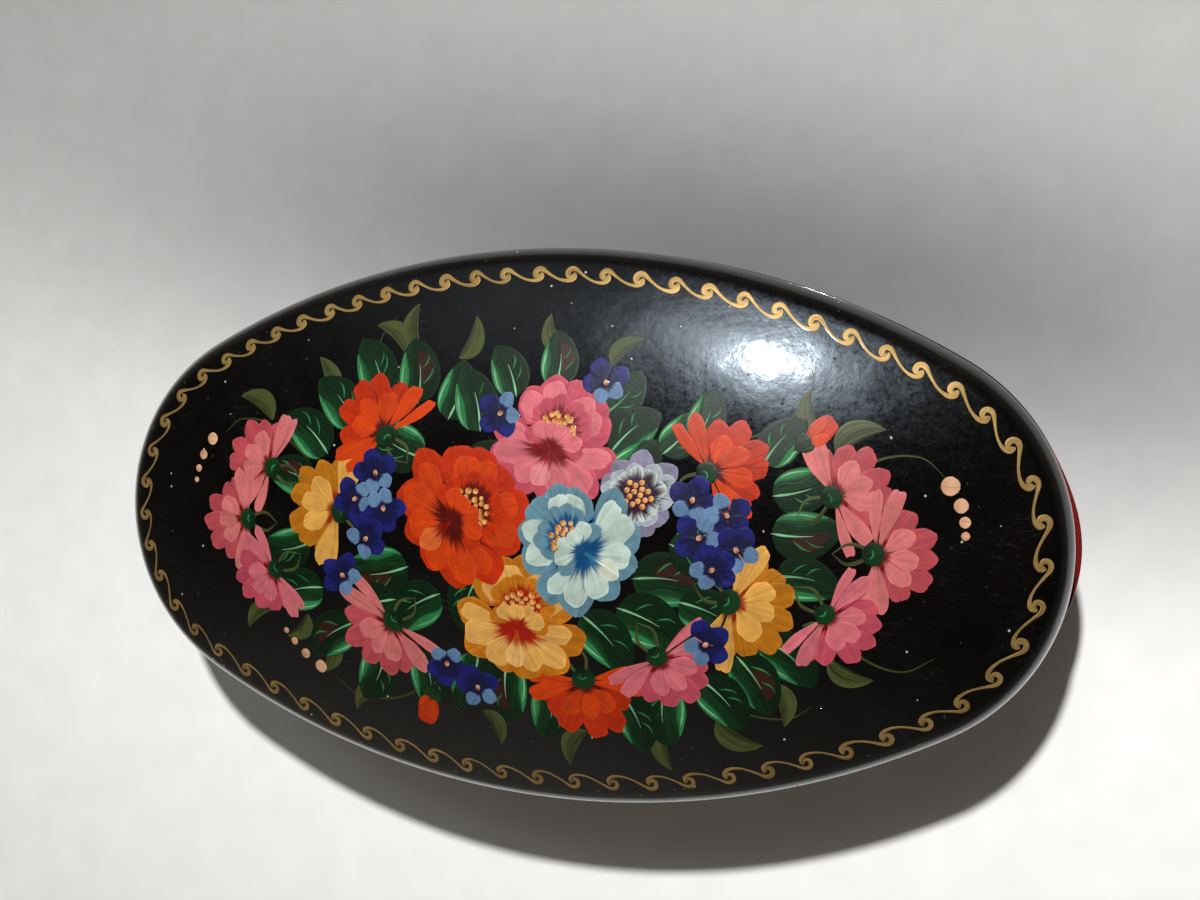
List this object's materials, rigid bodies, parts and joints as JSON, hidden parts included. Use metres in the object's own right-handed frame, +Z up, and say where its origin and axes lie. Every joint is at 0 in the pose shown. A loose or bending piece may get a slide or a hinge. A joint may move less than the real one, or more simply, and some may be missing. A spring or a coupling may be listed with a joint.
{
  "type": "trinket box",
  "caption": "Oval aluminium keepsake box, lacquered black outside and red inside, with a crowned lid that lifts off a collar standing in the mouth of its deep base.",
  "frame": {"origin": "middle of the plane that the box stands on", "axes": "+X along the oval, +Y across it, +Z up through the middle of the lid"},
  "size_m": [0.1826, 0.1024, 0.0493],
  "materials": {
    "black_lacquer": "gloss black lacquer over aluminium sheet, lightly worn",
    "red_lacquer": "deep red lacquer over aluminium sheet"
  },
  "bodies": {
    "base": {"base_shell": "black_lacquer", "locating_collar": "red_lacquer"},
    "lid": {"lid_shell": "black_lacquer"}
  },
  "joints": [
    {"name": "lid_lift", "type": "slide", "parent": "base", "child": "lid", "axis": [0, 0, 1], "range_m": [0, 0.06]}
  ]
}
